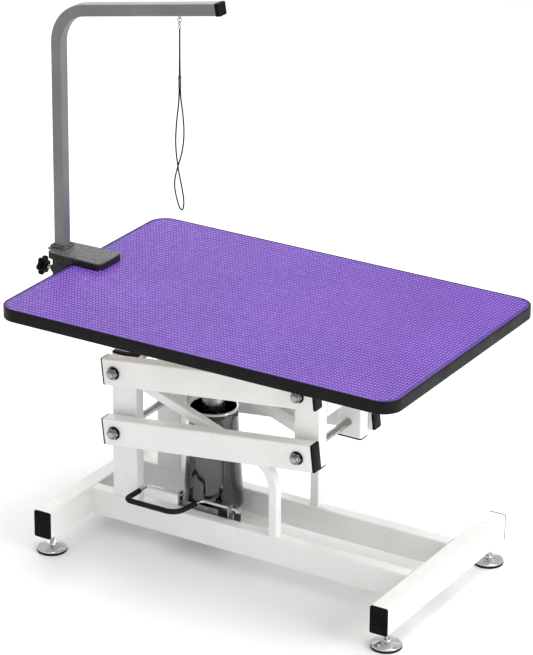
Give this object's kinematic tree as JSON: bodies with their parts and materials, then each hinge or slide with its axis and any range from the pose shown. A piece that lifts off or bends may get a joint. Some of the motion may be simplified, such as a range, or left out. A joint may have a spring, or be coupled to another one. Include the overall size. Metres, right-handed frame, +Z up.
{
  "type": "grooming table",
  "caption": "Hydraulic pet grooming table: padded top on parallel lift arms over a foot pump, with a clamp-on overhead arm and noose.",
  "frame": {"origin": "floor level, under the middle of the overall length and width", "axes": "+X along the table away from the grooming arm, +Y to the back, +Z up"},
  "size_m": [1.0268, 0.612, 1.1874],
  "materials": {
    "white_paint": "white powder coat, satin",
    "black_plastic": "moulded, satin",
    "chrome": "bright plate",
    "zinc_steel": "bright zinc plate",
    "rubber": "matt",
    "black_casting": "black textured coat",
    "bracket_steel": "dull plate",
    "mat_rubber": "purple, raised lozenge texture",
    "board_wood": "raw plywood",
    "arm_steel": "grey plate, satin",
    "cord_fabric": "braided nylon",
    "slider_grey": "moulded"
  },
  "bodies": {
    "base": {"front_base_rail": "white_paint", "rear_base_rail": "white_paint", "left_cross_tube": "white_paint", "right_cross_tube": "white_paint", "base_tube_caps": "black_plastic", "front_left_post": "white_paint", "rear_left_post": "white_paint", "front_brace": "white_paint", "rear_brace": "white_paint", "foot_cones": "chrome", "foot_pads": "rubber", "foot_studs": "zinc_steel", "foot_lock_nuts": "zinc_steel", "pump_plate": "white_paint", "pump_body": "black_casting", "pump_skirt": "chrome", "pump_cylinder": "zinc_steel", "pedal_bracket": "bracket_steel", "pedal_stop": "rubber", "left_axles": "zinc_steel", "left_axle_washers": "zinc_steel", "left_axle_nuts": "zinc_steel"},
    "lower_arms": {"front_lower_arm": "white_paint", "rear_lower_arm": "white_paint", "lower_arm_caps": "black_plastic"},
    "upper_arms": {"front_upper_arm": "white_paint", "rear_upper_arm": "white_paint", "upper_arm_caps": "black_plastic", "lift_bar": "zinc_steel"},
    "table": {"front_upright": "white_paint", "rear_upright": "white_paint", "upright_caps": "black_plastic", "upright_cross_tube": "white_paint", "top_frame_rails": "white_paint", "top_frame_crossbars": "white_paint", "table_board": "board_wood", "table_mat": "mat_rubber", "table_trim": "black_plastic", "table_bolts": "zinc_steel", "right_axles": "zinc_steel", "right_axle_washers": "zinc_steel", "right_axle_nuts": "zinc_steel", "clamp_casting": "black_casting"},
    "piston": {"piston_rod": "zinc_steel", "lift_shoe": "zinc_steel"},
    "pedal": {"pedal_rod": "chrome", "pedal_sleeve": "rubber", "pedal_nut": "zinc_steel"},
    "lock_knob": {"lock_knob": "black_plastic"},
    "clamp_pad": {"clamp_pad": "zinc_steel"},
    "clamp_screw": {"clamp_screw": "zinc_steel"},
    "grooming_arm": {"grooming_arm": "arm_steel", "arm_end_cap": "black_plastic", "arm_eye": "zinc_steel"},
    "noose_clip": {"noose_clip": "zinc_steel"},
    "noose": {"clip_swivel": "zinc_steel", "noose_cord": "cord_fabric"},
    "clip_trigger": {"clip_trigger": "zinc_steel"},
    "noose_slider": {"noose_slider": "slider_grey"}
  },
  "joints": [
    {"name": "lift", "type": "hinge", "parent": "base", "child": "lower_arms", "pos_m": [-0.2326, 0, 0.2645], "axis": [0, -1, 0], "range_deg": [-10.8, 31.2]},
    {"name": "upper_arm_pivot", "type": "hinge", "parent": "base", "child": "upper_arms", "pos_m": [-0.2326, 0, 0.4], "axis": [0, -1, 0], "range_deg": [-10.8, 31.2]},
    {"name": "table_level", "type": "hinge", "parent": "lower_arms", "child": "table", "pos_m": [0.20798, 0, 0.31704], "axis": [0, -1, 0], "range_deg": [-31.2, 10.8]},
    {"name": "piston_travel", "type": "slide", "parent": "base", "child": "piston", "axis": [0, 0, 1], "range_m": [-0.0282, 0.081]},
    {"name": "pedal_pump", "type": "hinge", "parent": "base", "child": "pedal", "pos_m": [-0.0754, -0.069, 0.125], "axis": [1, 0, 0], "range_deg": [0, 18], "stiffness_Nm_per_rad": 8, "springref_deg": -14.32},
    {"name": "post_lock_turn", "type": "hinge", "parent": "table", "child": "lock_knob", "pos_m": [-0.4954, 0.005, 0.534], "axis": [-1, 0, 0], "range_deg": [0, 360]},
    {"name": "clamp_pad_travel", "type": "slide", "parent": "table", "child": "clamp_pad", "axis": [0, 0, 1], "range_m": [-0.03, 0]},
    {"name": "clamp_screw_turn", "type": "hinge", "parent": "clamp_pad", "child": "clamp_screw", "pos_m": [-0.389, 0.005, 0.46], "axis": [0, 0, 1], "range_deg": [-4320, 0]},
    {"name": "arm_height", "type": "slide", "parent": "table", "child": "grooming_arm", "axis": [0, 0, 1], "range_m": [-0.12, 0.05]},
    {"name": "clip_swing", "type": "hinge", "parent": "grooming_arm", "child": "noose_clip", "pos_m": [-0.1604, 0.005, 1.13407], "axis": [0, 1, 0], "range_deg": [-35, 35]},
    {"name": "noose_swivel", "type": "hinge", "parent": "noose_clip", "child": "noose", "pos_m": [-0.1604, 0.005, 1.12], "axis": [0, 0, 1], "continuous": true},
    {"name": "clip_trigger_press", "type": "slide", "parent": "noose_clip", "child": "clip_trigger", "axis": [0, 0, -1], "range_m": [0, 0.002], "stiffness_N_per_m": 60, "springref_m": -0.002},
    {"name": "noose_slider_travel", "type": "slide", "parent": "noose", "child": "noose_slider", "axis": [0, 0, 1], "range_m": [0, 0.08]}
  ],
  "couplings": [
    {"joint": "upper_arm_pivot", "follows": "lift", "ratio": 1},
    {"joint": "table_level", "follows": "lift", "ratio": -1},
    {"joint": "piston_travel", "follows": "lift", "m_per_rad": 0.148},
    {"joint": "clamp_screw_turn", "follows": "clamp_pad_travel", "rad_per_m": 2513.3}
  ]
}
